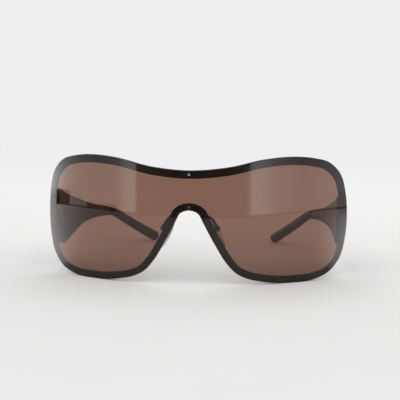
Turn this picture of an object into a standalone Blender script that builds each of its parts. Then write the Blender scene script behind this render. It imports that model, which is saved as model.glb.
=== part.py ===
"""Shield sunglasses with a one-piece lens, a metal rim behind it, folding temples and rocking nose pads.

The lens and the rim lie on an upright cylinder. A place on the front is given by s, the distance
along the lens surface from the middle line, z, the height above the table, and the depth behind
the lens surface. A place on a temple is given by u, the distance along it from its front end.
Every piece is worked out for the side with x above zero and mirrored for the other side.
"""
import math

import bmesh
import bpy
from mathutils import Vector

# Lens
lens_radius = 0.099
lens_half_arc = 0.082
lens_height = 0.0591
lens_thickness = 0.0018
lens_bevel = 0.00025
lens_columns = 48
# Half outline from the top middle round the side to the nose arch, as shares of half arc and height
lens_outline_share = (
    (0, 0.9), (0.22, 0.925), (0.439, 0.9855), (0.585, 1), (0.732, 0.985), (0.857, 0.939),
    (0.943, 0.838), (0.987, 0.677), (1, 0.5), (0.99, 0.338), (0.947, 0.169), (0.861, 0.061),
    (0.768, 0.017), (0.66, 0), (0.565, 0), (0.475, 0.0095), (0.4, 0.0265), (0.33, 0.0505),
    (0.27, 0.0915), (0.206, 0.186), (0.1485, 0.316), (0.0972, 0.445), (0.0725, 0.513),
    (0.053, 0.5597), (0, 0.587),
)

# Rim behind the lens
touch_gap = 0.00025
head_gap = 0.00005
rim_inset = 0.0003
rim_thickness = 0.0010
rim_chamfer = 0.0002
rim_width_top = 0.0037
rim_width_bridge = 0.0030
rim_width_nose = 0.0034
rim_width_bottom = 0.0030
rim_width_side = 0.0031
rim_width_corner = 0.0018
rim_bottom_share = 0.366
rim_points = 184

# Pins that hold the lens on the rim
pin_radius = 0.0004
pin_head_radius = 0.0006
pin_head_height = 0.00025
pin_clearance = 0.00005
pin_top_drop = 0.0019
pin_bridge_rise = 0.0017
side_pin_height = 0.0365
side_pin_inset = 0.0022

# End piece behind each side of the rim
end_thickness = 0.0014
end_inset = 0.0007
end_width = 0.0026
end_low = 0.0150
end_high = 0.0395

# Temple plate, its core wire and its bends
temple_outset = 0.0008
temple_setback = 0.0009
temple_thickness = 0.0014
temple_chamfer = 0.0003
temple_toe_in = math.radians(8.1)
temple_straight = 0.0334
temple_head_radius = 0.105
temple_length = 0.068
temple_low = 0.0108
temple_height = 0.0302
temple_rings = 26
# Top and bottom edge of the temple, as shares of its length and of its height above its lowest point
temple_top_share = (
    (0, 0.83), (0.02, 0.93), (0.055, 0.985), (0.1, 0.965), (0.18, 0.885), (0.31, 0.79),
    (0.475, 0.69), (0.6, 0.607), (0.73, 0.525), (0.86, 0.466), (1, 0.4),
)
temple_bottom_share = (
    (0, 0.32), (0.02, 0.21), (0.06, 0.105), (0.12, 0.03), (0.19, 0), (0.28, 0.045), (0.37, 0.1),
    (0.47, 0.16), (0.58, 0.215), (0.7, 0.245), (0.85, 0.258), (1, 0.24),
)
core_height = 0.0022
core_thickness = 0.0011
core_length = 0.021

# Ear tip
tip_height = 0.0046
tip_height_end = 0.0055
tip_thickness = 0.0034
tip_arm_slope = math.radians(11)
tip_drop_angle = math.radians(28.8)
tip_bend_radius = 0.028
tip_flat_depth = 0.0003
tip_rings = 15
tip_sides = 16
slot_gap = 0.0002

# Hinge
knuckle_radius = 0.0015
knuckle_bore = 0.00065
knuckle_height = 0.0028
knuckle_play = 0.0001
hinge_block_height = 0.0074
hinge_axis_along = 0.0054
hinge_height = 0.0260
hinge_slot_clearance = 0.0003
leaf_thickness = 0.0008
leaf_length = 0.0092
leaf_start = 0.0023
leaf_height = 0.0062
screw_radius = 0.0006
screw_head_radius = 0.0012
screw_head_height = 0.0005
screw_tail = 0.0003
leaf_rivet_radius = 0.0005
leaf_rivet_head = 0.0009
leaf_rivet_head_height = 0.00035
leaf_rivet_clearance = 0.00005
leaf_rivet_edge = 0.0016
leaf_rivet_pitch = 0.0030

# Nose pads, their boxes and their arms
box_place = 0.0131
box_height = 0.0258
box_setback = 0.0029
box_width = 0.0030
box_length = 0.0026
box_depth = 0.0026
box_wall = 0.0005
tab_thickness = 0.0012
tab_length = 0.0018
pad_screw_radius = 0.00035
pad_screw_head = 0.0007
pad_screw_clearance = 0.00005
pad_length = 0.0155
pad_width = 0.0072
pad_thickness = 0.0024
pad_narrowing_share = 0.22
pad_drop = 0.0025
pad_clearance = 0.00035
pad_tilt = math.radians(29)
pad_splay = math.radians(30)
pad_points = 26
stud_radius = 0.0016
stud_thickness = 0.0007
stud_gap = 0.0002
arm_radius = 0.0005
arm_foot_radius = 0.0008
arm_root_place = 0.0073
arm_root_height = 0.0318
arm_bow = 0.0022
arm_rise = 0.0024
# Levels of a pad from the side that faces the box to the side that faces the nose
pad_level_share = ((0.86, 0), (1, 0.16), (1, 0.3), (0.95, 0.55), (0.8, 0.78), (0.56, 0.93), (0.25, 1))

# Shared
cut_overrun = 0.001
small_sides = 14
round_sides = 20
smooth_angle = math.radians(32)

rim_front = lens_thickness + touch_gap
rim_back = rim_front + rim_thickness
end_front = rim_back + touch_gap
end_back = end_front + end_thickness

for old in list(bpy.data.objects):
    bpy.data.objects.remove(old, do_unlink=True)


def srgb(code):
    """Linear colour of a hex code."""
    parts = [int(code[i:i + 2], 16) / 255 for i in (1, 3, 5)]
    return [c / 12.92 if c <= 0.04045 else ((c + 0.055) / 1.055) ** 2.4 for c in parts] + [1]


def material(name, code, roughness, metallic, transmission=0):
    made = bpy.data.materials.new(name)
    made.use_nodes = True
    shader = made.node_tree.nodes["Principled BSDF"]
    shader.inputs["Base Color"].default_value = srgb(code)
    shader.inputs["Roughness"].default_value = roughness
    shader.inputs["Metallic"].default_value = metallic
    shader.inputs["Transmission Weight"].default_value = transmission
    made.diffuse_color = srgb(code)
    return made


black_metal = material("black_lacquered_metal", "#1C1918", 0.32, 0.6)
bright_steel = material("bright_steel", "#C9CACB", 0.25, 1)
lens_tint = material("brown_lens", "#8E6E5D", 0.05, 0, 0.9)
black_acetate = material("black_acetate", "#1A1716", 0.28, 0)
clear_silicone = material("clear_silicone", "#E4E6E4", 0.35, 0, 0.8)


def spline(points, steps, closed=False, masks=None):
    """Smooth curve through points; a mask of zero holds one part of a tangent at zero."""
    count = len(points)
    dims = range(len(points[0]))
    spans = [math.dist(points[i], points[(i + 1) % count]) for i in range(count)]
    tangents = []
    for i in range(count):
        before, after = (i - 1) % count, (i + 1) % count
        if not closed and i == 0:
            slope = [(points[1][k] - points[0][k]) / spans[0] for k in dims]
        elif not closed and i == count - 1:
            slope = [(points[i][k] - points[before][k]) / spans[before] for k in dims]
        else:
            back = [(points[i][k] - points[before][k]) / spans[before] for k in dims]
            ahead = [(points[after][k] - points[i][k]) / spans[i] for k in dims]
            whole = spans[before] + spans[i]
            slope = [(back[k] * spans[i] + ahead[k] * spans[before]) / whole for k in dims]
        if masks:
            slope = [slope[k] * masks[i][k] for k in dims]
        tangents.append(slope)
    curve = []
    for i in range(count if closed else count - 1):
        after = (i + 1) % count
        for step in range(steps):
            t = step / steps
            h00 = 2 * t ** 3 - 3 * t ** 2 + 1
            h10 = t ** 3 - 2 * t ** 2 + t
            h01 = 3 * t ** 2 - 2 * t ** 3
            h11 = t ** 3 - t ** 2
            curve.append(tuple(
                h00 * points[i][k] + h01 * points[after][k]
                + spans[i] * (h10 * tangents[i][k] + h11 * tangents[after][k])
                for k in dims))
    if not closed:
        curve.append(tuple(points[-1]))
    return curve


def read_curve(curve, place):
    """Second value of a curve where its first value, which only grows, reaches place."""
    for (a, va), (b, vb) in zip(curve, curve[1:]):
        if a <= place <= b and b > a:
            return va + (vb - va) * (place - a) / (b - a)
    return curve[0][1] if place < curve[0][0] else curve[-1][1]


def even_points(curve, count):
    """Points at even steps round a closed curve."""
    loop = list(curve) + [curve[0]]
    lengths = [0]
    for a, b in zip(loop, loop[1:]):
        lengths.append(lengths[-1] + math.dist(a, b))
    places = []
    k = 0
    for i in range(count):
        target = lengths[-1] * i / count
        while lengths[k + 1] < target:
            k += 1
        share = (target - lengths[k]) / (lengths[k + 1] - lengths[k])
        places.append(tuple(a + (b - a) * share for a, b in zip(loop[k], loop[k + 1])))
    return places


def inward(points):
    """Unit normals that point into a closed outline which runs clockwise."""
    normals = []
    for i in range(len(points)):
        a, b = points[i - 1], points[(i + 1) % len(points)]
        length = math.dist(a, b)
        normals.append(((b[1] - a[1]) / length, (a[0] - b[0]) / length))
    return normals


def wrap(s, z, depth):
    """Place on the front: s along the lens surface, z up, depth behind the surface."""
    angle = s / lens_radius
    reach = lens_radius - depth
    return Vector((reach * math.sin(angle), lens_radius - reach * math.cos(angle), z))


def wrap_normal(s):
    """Direction straight into the front at s."""
    angle = s / lens_radius
    return Vector((-math.sin(angle), math.cos(angle), 0))


def loft(rings, capped=True, looped=False):
    """Vertices and faces of a skin over rings of equal length."""
    size = len(rings[0])
    vertices = [point for ring in rings for point in ring]
    faces = []
    for r in range(len(rings) if looped else len(rings) - 1):
        a, b = r * size, (r + 1) % len(rings) * size
        for i in range(size):
            j = (i + 1) % size
            faces.append((a + i, a + j, b + j, b + i))
    if capped and not looped:
        faces.append(tuple(range(size)))
        faces.append(tuple(range(len(vertices) - size, len(vertices))))
    return vertices, faces


def prism(outline, low, high):
    """Upright prism over an outline of (x, y) places."""
    return loft([[Vector((x, y, z)) for x, y in outline] for z in (low, high)])


def circle(centre, across, up, radius, sides):
    turns = [2 * math.pi * i / sides for i in range(sides)]
    return [centre + across * (radius * math.cos(t)) + up * (radius * math.sin(t)) for t in turns]


def turned(profile, base, axis, sides):
    """Round piece: each (radius, distance) of the profile is a ring square to the axis."""
    across = axis.orthogonal().normalized()
    up = axis.cross(across)
    return loft([circle(base + axis * d, across, up, r, sides) for r, d in profile])


def block(centre, axes, sizes):
    """Box with the given full sizes along three axes."""
    a, b, c = [axis * (size / 2) for axis, size in zip(axes, sizes)]
    rings = [[centre + e * c + p * a + q * b for p, q in ((-1, -1), (1, -1), (1, 1), (-1, 1))]
             for e in (-1, 1)]
    return loft(rings)


def solid(name, shape, look, side=1, pivot=None, smooth=True):
    """Object from vertices and faces, mirrored for side -1 and hung on a pivot where it has one."""
    vertices, faces = shape
    start = pivot.location if pivot else Vector((0, 0, 0))
    placed = [Vector((side * v.x, v.y - middle, v.z)) - start for v in vertices]
    mesh = bpy.data.meshes.new(name)
    mesh.from_pydata(placed, [], faces)
    work = bmesh.new()
    work.from_mesh(mesh)
    bmesh.ops.recalc_face_normals(work, faces=work.faces)
    work.to_mesh(mesh)
    work.free()
    if smooth:
        mesh.shade_smooth()
        mesh.set_sharp_from_angle(angle=smooth_angle)
    mesh.materials.append(look)
    made = bpy.data.objects.new(name, mesh)
    bpy.context.collection.objects.link(made)
    made.parent = pivot
    return made


def join(target, name, shape, side, operation, pivot=None):
    """Boolean on target with a hidden tool piece."""
    tool = solid(name, shape, black_metal, side, pivot, smooth=False)
    tool.hide_render = True
    tool.display_type = "WIRE"
    change = target.modifiers.new(name, "BOOLEAN")
    change.operation = operation
    change.solver = "EXACT"
    change.object = tool


def pivot_at(name, place, side):
    empty = bpy.data.objects.new(name, None)
    empty.location = (side * place.x, place.y - middle, place.z)
    empty.empty_display_size = knuckle_radius
    bpy.context.collection.objects.link(empty)
    return empty


# Outline of the lens: the half from the table, then its mirror image
half = [(s * lens_half_arc, z * lens_height) for s, z in lens_outline_share]
half_masks = [(0 if s == 1 else 1, 0 if s == 0 or z in (0, 1) else 1) for s, z in lens_outline_share]
whole = half + [(-s, z) for s, z in half[-2:0:-1]]
outline_steps = 14
outline = spline(whole, outline_steps, True, half_masks + half_masks[-2:0:-1])
side_knot = lens_outline_share.index((1, 0.5)) * outline_steps
arch_knot = (len(half) - 1) * outline_steps
top_edge = outline[:side_knot + 1]
bottom_edge = outline[side_knot:arch_knot + 1][::-1]


def column_share(share):
    """Column places that crowd towards the middle and more towards the side."""
    return math.sin(math.pi / 2 * share ** 1.3)


def lens_shape():
    shares = [k / lens_columns for k in range(-lens_columns, lens_columns + 1)]
    places = [math.copysign(column_share(abs(k)), k) * lens_half_arc for k in shares]
    upper = [(s, read_curve(top_edge, abs(s))) for s in places]
    lower = [(s, read_curve(bottom_edge, abs(s))) for s in places[-2:0:-1]]
    loop = upper + lower
    normals = inward(loop)
    rings = []
    for inset, depth in ((lens_bevel, 0), (0, lens_bevel),
                         (0, lens_thickness - lens_bevel), (lens_bevel, lens_thickness)):
        rings.append([wrap(s + n[0] * inset, z + n[1] * inset, depth)
                      for (s, z), n in zip(loop, normals)])
    vertices, faces = loft(rings, capped=False)
    size = len(loop)
    for start in (0, 3 * size):
        for k in range(2 * lens_columns):
            corners = [k, k + 1, (size - k - 1) % size, (size - k) % size]
            unique = list(dict.fromkeys(corners))
            faces.append(tuple(start + c for c in unique))
    return vertices, faces


def rim_width(s, normal):
    """Width of the rim where the outline faces the given way."""
    down, inner = max(-normal[1], 0), max(-normal[0] * math.copysign(1, s), 0)
    rise = max(normal[1], 0)
    share = min(abs(s) / (rim_bottom_share * lens_half_arc), 1)
    share = share * share * (3 - 2 * share)
    low_width = rim_width_bridge + (rim_width_bottom - rim_width_bridge) * share
    nose = 1 - down ** 2 - inner ** 2 - rise ** 2
    width = (rim_width_top * down ** 2 + rim_width_side * inner ** 2
             + low_width * rise ** 2 + rim_width_nose * nose)
    corner = 2 * rise * inner
    return width + (rim_width_corner - width) * corner


def band_ring(place, normal, inset, width, front, back):
    """Chamfered section of a band that lies along the outline."""
    c = rim_chamfer
    corners = ((inset + c, front), (inset, front + c), (inset, back - c), (inset + c, back),
               (inset + width - c, back), (inset + width, back - c),
               (inset + width, front + c), (inset + width - c, front))
    return [wrap(place[0] + normal[0] * i, place[1] + normal[1] * i, d) for i, d in corners]


rim_places = even_points(outline, rim_points)
rim_normals = inward(rim_places)

# Temple: plan places, with the way back and the way out
rim_corner = wrap(lens_half_arc - rim_inset, 0, rim_back)
temple_start = Vector((rim_corner.x + temple_outset, rim_corner.y + temple_setback, 0))


def plan(u):
    """Middle plane of the temple at u: place, direction back along it and direction outwards."""
    turn = temple_toe_in + max(u - temple_straight, 0) / temple_head_radius
    run = min(u, temple_straight)
    x = temple_start.x - run * math.sin(temple_toe_in)
    y = temple_start.y + run * math.cos(temple_toe_in)
    x -= temple_head_radius * (math.cos(temple_toe_in) - math.cos(turn))
    y += temple_head_radius * (math.sin(turn) - math.sin(temple_toe_in))
    return Vector((x, y, 0)), Vector((-math.sin(turn), math.cos(turn), 0)), \
        Vector((math.cos(turn), math.sin(turn), 0))


temple_top = [(u * temple_length, temple_low + z * temple_height)
              for u, z in spline(temple_top_share, 8)]
temple_bottom = [(u * temple_length, temple_low + z * temple_height)
                 for u, z in spline(temple_bottom_share, 8)]
arm_end_height = (temple_top[-1][1] + temple_bottom[-1][1]) / 2


def ear_path(p):
    """Middle line of the core wire and the ear tip at p past the plate: u, z and slope."""
    bend = tip_bend_radius * (tip_drop_angle - tip_arm_slope)
    slope = tip_arm_slope + min(p, bend) / tip_bend_radius
    u = temple_length + tip_bend_radius * (math.sin(slope) - math.sin(tip_arm_slope))
    z = arm_end_height - tip_bend_radius * (math.cos(tip_arm_slope) - math.cos(slope))
    u += max(p - bend, 0) * math.cos(slope)
    z -= max(p - bend, 0) * math.sin(slope)
    return u, z, slope


def ear_axes(p):
    """Place of the middle line with its upward and outward directions."""
    u, z, slope = ear_path(p)
    place, back, out = plan(u)
    lean = slope * min(p / tip_bend_length, 1)
    up = back * math.sin(lean) + Vector((0, 0, math.cos(lean)))
    return place + Vector((0, 0, z)), up, out


tip_bend_length = tip_bend_radius * (tip_drop_angle - tip_arm_slope)
tip_rest = tip_height_end / 2 - tip_flat_depth
tip_reach = tip_bend_length + (ear_path(tip_bend_length)[1] - tip_rest) / math.sin(tip_drop_angle)
tip_nose = tip_height_end / 2


def rounded_section(place, up, out, height, thickness):
    """Oval section with slightly flattened sides."""
    ring = []
    for i in range(tip_sides):
        t = 2 * math.pi * i / tip_sides
        a, b = math.cos(t), math.sin(t)
        ring.append(place + out * (thickness / 2 * math.copysign(abs(a) ** 0.8, a))
                    + up * (height / 2 * math.copysign(abs(b) ** 0.8, b)))
    return ring


def chamfered_section(place, up, out, top, bottom, thickness, chamfer):
    half_wide = thickness / 2
    corners = ((half_wide, top - chamfer), (half_wide - chamfer, top),
               (chamfer - half_wide, top), (-half_wide, top - chamfer),
               (-half_wide, bottom + chamfer), (chamfer - half_wide, bottom),
               (half_wide - chamfer, bottom), (half_wide, bottom + chamfer))
    return [place + out * a + up * b for a, b in corners]


def temple_shape():
    rise = Vector((0, 0, 1))
    rings = []
    for k in range(temple_rings + 1):
        share = k / temple_rings
        u = temple_length * (0.45 * share + 0.55 * share ** 2)
        place, _, out = plan(u)
        rings.append(chamfered_section(place, rise, out, read_curve(temple_top, u),
                                       read_curve(temple_bottom, u), temple_thickness, temple_chamfer))
    steps = 9
    for k in range(steps + 1):
        place, up, out = ear_axes(core_length * k / steps)
        rings.append(chamfered_section(place, up, out, core_height / 2, -core_height / 2,
                                       core_thickness, temple_chamfer))
    return loft(rings)


def ear_tip_rings():
    """Rings from the bottom of the slot to its mouth and back over the outside to the end."""
    rings = []
    slot_end = core_length + touch_gap
    for k in range(tip_rings, -1, -1):
        p = touch_gap + (slot_end - touch_gap) * k / tip_rings
        place, up, out = ear_axes(p)
        rings.append(rounded_section(place, up, out, (core_height + 2 * slot_gap) * 1.25,
                                     (core_thickness + 2 * slot_gap) * 1.25))
    steps = tip_rings + 3
    for k in range(steps + 1):
        share = k / steps
        p = touch_gap + (tip_reach - touch_gap) * share
        place, up, out = ear_axes(p)
        height = tip_height + (tip_height_end - tip_height) * share
        rings.append(rounded_section(place, up, out, height, tip_thickness))
    for turn in (20, 40, 58, 74):
        angle = math.radians(turn)
        place, up, out = ear_axes(tip_reach + tip_nose * math.sin(angle))
        rings.append(rounded_section(place, up, out, tip_height_end * math.cos(angle),
                                     tip_thickness * math.cos(angle)))
    return rings


tip_rings_made = ear_tip_rings()
rear = max(point.y for ring in tip_rings_made for point in ring)
middle = (rear - pin_head_height) / 2

# Hinge axis beside the temple plate
axis_place, axis_back, axis_out = plan(hinge_axis_along)
axis_inset = temple_thickness / 2 + touch_gap + knuckle_radius
hinge_axis = axis_place - axis_out * axis_inset + Vector((0, 0, hinge_height))


def arc(centre, start, end, radius, steps):
    """Plan places round a centre, between two angles."""
    angles = [start + (end - start) * k / steps for k in range(steps + 1)]
    return [(centre.x + radius * math.cos(a), centre.y + radius * math.sin(a)) for a in angles]


def hinge_front_outline():
    """Plan of the front half: two corners on the end piece and a round knuckle."""
    outer = lens_half_arc - end_inset - rim_chamfer * 2
    near = wrap(outer, 0, end_back + touch_gap)
    far = wrap(outer - end_width * 0.9, 0, end_back + touch_gap)
    way = (hinge_axis - (near + far) / 2)
    heading = math.atan2(way.y, way.x)
    turned_places = arc(hinge_axis, heading - math.pi / 2, heading + math.pi / 2, knuckle_radius, 10)
    return [(far.x, far.y), (near.x, near.y)] + turned_places


def along_hinge(along, inset, z):
    """Place beside the hinge axis: along the temple, in from its inner face, above the middle."""
    face = temple_thickness / 2 + touch_gap
    point = axis_place + axis_back * along - axis_out * (face + inset)
    return Vector((point.x, point.y, hinge_height + z))


def leaf_outline(start, end, round_end):
    """Plan of the leaf from start to end along the temple, with its knuckle where round_end is set."""
    corners = [along_hinge(end, 0, 0), along_hinge(end, leaf_thickness, 0)]
    places = [(c.x, c.y) for c in corners]
    heading = math.atan2(axis_out.y, axis_out.x)
    if round_end:
        meet = math.asin((knuckle_radius - leaf_thickness) / knuckle_radius)
        return places + arc(hinge_axis, heading + math.pi / 2 - meet, heading + 2 * math.pi,
                            knuckle_radius, 16)
    corners = [along_hinge(start, leaf_thickness, 0), along_hinge(start, 0, 0)]
    return places + [(c.x, c.y) for c in corners]


# Nose pad axes on the side with x above zero
pad_rise = Vector((-math.sin(pad_tilt), 0, math.cos(pad_tilt)))
pad_back = Vector((math.sin(pad_splay), math.cos(pad_splay), 0))
pad_out = pad_back.cross(pad_rise).normalized()
pad_back = pad_rise.cross(pad_out).normalized()
box_centre = wrap(box_place, box_height, rim_back + box_setback)


def pad_place(back, rise, out):
    return box_centre + pad_back * back + pad_rise * rise + pad_out * out


def pad_shape():
    near = -(box_depth / 2 + pad_clearance)
    rings = []
    for size, level in pad_level_share:
        ring = []
        for i in range(pad_points):
            t = 2 * math.pi * i / pad_points
            narrow = 1 - pad_narrowing_share * math.cos(t)
            ring.append(pad_place(size * narrow * pad_width / 2 * math.sin(t),
                                  size * pad_length / 2 * math.cos(t) - pad_drop,
                                  near - level * pad_thickness))
        rings.append(ring)
    return loft(rings)


def box_shape():
    """Folded channel, open towards the pad, run along the pad's length."""
    w, d, t = box_width / 2, box_depth / 2, box_wall
    corners = ((-w, -d), (-w, d), (w, d), (w, -d), (w - t, -d), (w - t, d - t), (t - w, d - t),
               (t - w, -d))
    return loft([[pad_place(a, rise, b) for a, b in corners]
                 for rise in (-box_length / 2, box_length / 2)])


def arm_shape():
    """Bent wire from the back of the rim to the top of the box."""
    root = wrap(arm_root_place, arm_root_height, rim_back + touch_gap)
    end = pad_place(0, box_length / 2 + touch_gap, arm_radius)
    behind = wrap_normal(arm_root_place)
    rise = Vector((0, 0, 1))
    near = root + behind * (arm_bow * 0.75) + rise * (arm_rise * 0.5)
    top = root + (end - root) * 0.3 + behind * (arm_bow * 0.75) + rise * arm_rise
    late = root + (end - root) * 0.68 + behind * (arm_bow * 0.35) + rise * (arm_rise * 0.6)
    path = [Vector(p) for p in spline([tuple(v) for v in (root, near, top, late, end)], 4)]
    rings = []
    for k, place in enumerate(path):
        before, after = path[max(k - 1, 0)], path[min(k + 1, len(path) - 1)]
        heading = behind if k == 0 else (after - before).normalized()
        across = heading.cross(pad_rise.cross(behind)).normalized()
        up = across.cross(heading).normalized()
        radius = arm_foot_radius if k == 0 else arm_radius
        rings.append(circle(place, across, up, radius, 8))
    return loft(rings)


def pin_shape(s, z, back):
    """Pin with a low domed head in front and a spread tail behind."""
    h, r = pin_head_height, pin_head_radius
    tail = back + head_gap
    profile = ((r * 0.4, -h), (r * 0.8, -h * 0.7), (r, -head_gap), (pin_radius, -head_gap),
               (pin_radius, tail), (r, tail), (r * 0.8, tail + h * 0.7), (r * 0.4, tail + h))
    return turned(profile, wrap(s, z, 0), wrap_normal(s), small_sides)


def pin_hole(s, z, back):
    radius = pin_radius + pin_clearance
    return turned(((radius, -cut_overrun), (radius, back + cut_overrun)), wrap(s, z, 0),
                  wrap_normal(s), small_sides)


# Front: lens, rim and middle pins
lens = solid("shield_lens", lens_shape(), lens_tint)
rim_rings = [band_ring(p, n, rim_inset, rim_width(p[0], n), rim_front, rim_back)
             for p, n in zip(rim_places, rim_normals)]
rim = solid("front_rim", loft(rim_rings, looped=True), black_metal)
top_height = lens_outline_share[0][1] * lens_height - pin_top_drop
bridge_height = lens_outline_share[-1][1] * lens_height + pin_bridge_rise
for label, height in (("top", top_height), ("bridge", bridge_height)):
    solid("lens_pin_" + label, pin_shape(0, height, rim_back), bright_steel)
    hole = pin_hole(0, height, rim_back)
    join(lens, "cut_lens_" + label, hole, 1, "DIFFERENCE")
    join(rim, "cut_rim_" + label, hole, 1, "DIFFERENCE")

side_edge = [(z, s) for s, z in outline[:arch_knot] if s > lens_half_arc * 0.9]
side_pin_place = read_curve(sorted(side_edge), side_pin_height) - side_pin_inset

for side, word in ((-1, "left"), (1, "right")):
    # End piece, side pin and front half of the hinge
    chosen = [(p, n) for p, n in zip(rim_places, rim_normals) if p[0] > lens_half_arc * 0.9
              and end_low < p[1] < end_high]
    end_rings = [band_ring(p, n, end_inset, end_width, end_front, end_back) for p, n in chosen]
    end_piece = solid("end_piece_" + word, loft(end_rings), black_metal, side)
    side_pin = pin_shape(side_pin_place, side_pin_height, end_back)
    solid("lens_pin_side_" + word, side_pin, black_metal, side)
    hole = pin_hole(side_pin_place, side_pin_height, end_back)
    for target, label in ((lens, "lens_side_"), (rim, "rim_side_"), (end_piece, "end_piece_")):
        join(target, "cut_" + label + word, hole, side, "DIFFERENCE")

    half_block = hinge_block_height / 2
    fork = solid("hinge_front_" + word, prism(hinge_front_outline(), hinge_height - half_block,
                                              hinge_height + half_block), black_metal, side)
    rise = Vector((0, 0, 1))
    slot_radius = knuckle_radius + hinge_slot_clearance
    slot_half = knuckle_height / 2 + knuckle_play
    join(fork, "cut_fork_slot_" + word,
         turned(((slot_radius, -slot_half), (slot_radius, slot_half)), hinge_axis, rise, round_sides),
         side, "DIFFERENCE")
    bore = turned(((knuckle_bore, -half_block - cut_overrun), (knuckle_bore, half_block + cut_overrun)),
                  hinge_axis, rise, small_sides)
    join(fork, "cut_fork_bore_" + word, bore, side, "DIFFERENCE")
    head_seat = half_block + knuckle_play
    screw_profile = ((screw_radius, -half_block - screw_tail), (screw_radius, head_seat),
                     (screw_head_radius, head_seat),
                     (screw_head_radius, head_seat + screw_head_height / 2),
                     (screw_head_radius * 0.8, head_seat + screw_head_height))
    solid("hinge_screw_" + word, turned(screw_profile, hinge_axis, rise, small_sides), bright_steel, side)

    # Temple, which folds on the hinge axis
    fold = pivot_at("fold_" + word, hinge_axis, side)
    temple = solid("temple_" + word, temple_shape(), black_metal, side, fold)
    half_leaf = leaf_height / 2
    leaf = solid("hinge_leaf_" + word,
                 prism(leaf_outline(leaf_start, leaf_length, False), hinge_height - half_leaf,
                       hinge_height + half_leaf), black_metal, side, fold)
    join(leaf, "add_knuckle_" + word,
         prism(leaf_outline(0, leaf_start + leaf_thickness, True), hinge_height - knuckle_height / 2,
               hinge_height + knuckle_height / 2), side, "UNION", fold)
    join(leaf, "cut_leaf_bore_" + word, bore, side, "DIFFERENCE", fold)
    for k, label in enumerate(("front", "rear")):
        along = leaf_length - leaf_rivet_edge - (1 - k) * leaf_rivet_pitch
        head_face = leaf_thickness + head_gap
        outer_face = -(touch_gap + temple_thickness + head_gap)
        base = along_hinge(along, 0, 0)
        profile = ((leaf_rivet_head * 0.5, head_face + leaf_rivet_head_height),
                   (leaf_rivet_head, head_face + leaf_rivet_head_height * 0.4), (leaf_rivet_head, head_face),
                   (leaf_rivet_radius, head_face), (leaf_rivet_radius, outer_face),
                   (leaf_rivet_head, outer_face),
                   (leaf_rivet_head * 0.6, outer_face - leaf_rivet_head_height * 0.4))
        solid("leaf_rivet_" + label + "_" + word, turned(profile, base, -axis_out, small_sides),
              black_metal, side, fold)
        wide = leaf_rivet_radius + leaf_rivet_clearance
        hole = turned(((wide, -temple_thickness - cut_overrun), (wide, leaf_thickness + cut_overrun)),
                      base, -axis_out, small_sides)
        join(leaf, "cut_leaf_rivet_" + label + "_" + word, hole, side, "DIFFERENCE", fold)
        join(temple, "cut_temple_rivet_" + label + "_" + word, hole, side, "DIFFERENCE", fold)
    tip = solid("ear_tip_" + word, loft(tip_rings_made), black_acetate, side, fold)
    floor_wide = temple_length
    join(tip, "cut_tip_floor_" + word,
         block(Vector((tip_rings_made[-1][0].x, tip_rings_made[-1][0].y, -floor_wide / 2)),
               (Vector((1, 0, 0)), Vector((0, 1, 0)), rise), (floor_wide,) * 3), side, "DIFFERENCE", fold)

    # Nose pad, its stud, box, screw and arm
    solid("pad_arm_" + word, arm_shape(), black_metal, side)
    box = solid("pad_box_" + word, box_shape(), black_metal, side)
    reach = box_width / 2
    wide = pad_screw_radius + pad_screw_clearance
    bore = turned(((wide, -reach - cut_overrun), (wide, reach + cut_overrun)), box_centre, pad_back,
                  small_sides)
    join(box, "cut_box_bore_" + word, bore, side, "DIFFERENCE")
    seat = reach + head_gap
    screw_profile = ((pad_screw_radius, -reach - touch_gap), (pad_screw_radius, seat), (pad_screw_head, seat),
                     (pad_screw_head * 0.7, seat + pad_screw_radius))
    solid("pad_screw_" + word, turned(screw_profile, box_centre, pad_back, small_sides), bright_steel, side)
    rock = pivot_at("rock_" + word, box_centre, side)
    pad = solid("nose_pad_" + word, pad_shape(), clear_silicone, side, rock)
    face = -(box_depth / 2 + pad_clearance)
    pocket = stud_radius + stud_gap
    join(pad, "cut_pad_pocket_" + word,
         turned(((pocket, -stud_thickness - stud_gap), (pocket, cut_overrun)),
                pad_place(0, 0, face), pad_out, round_sides), side, "DIFFERENCE", rock)
    stud = solid("pad_stud_" + word,
                 turned(((stud_radius, -stud_thickness), (stud_radius, 0)), pad_place(0, 0, face), pad_out,
                        round_sides), bright_steel, side, rock)
    tab_end = box_depth / 2 - box_wall - touch_gap
    join(stud, "add_tab_" + word,
         block(pad_place(0, 0, (face - stud_thickness / 2 + tab_end) / 2), (pad_back, pad_rise, pad_out),
               (tab_thickness, tab_length, tab_end - face + stud_thickness / 2)), side, "UNION", rock)
    join(stud, "cut_tab_bore_" + word, bore, side, "DIFFERENCE", rock)
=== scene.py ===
# %% [markdown]
# A pair of shield sunglasses, folded open on a table. One brown lens covers both eyes, a
# lacquered metal rim backs it, and two wide temples fold in on small hinges. The solids from
# the CAD model are read from model.glb. Each one is made again here with far more faces and
# soft edges, from the same sizes, and gets the finish of the real piece. A solid with few
# faces would show its facets in the long reflections of the lens.

# %% The solids, and the box that they fill
from math import asin, atan2, copysign, cos, dist, exp, pi, radians, sin

import bmesh
import bpy
from mathutils import Matrix, Vector


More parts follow.
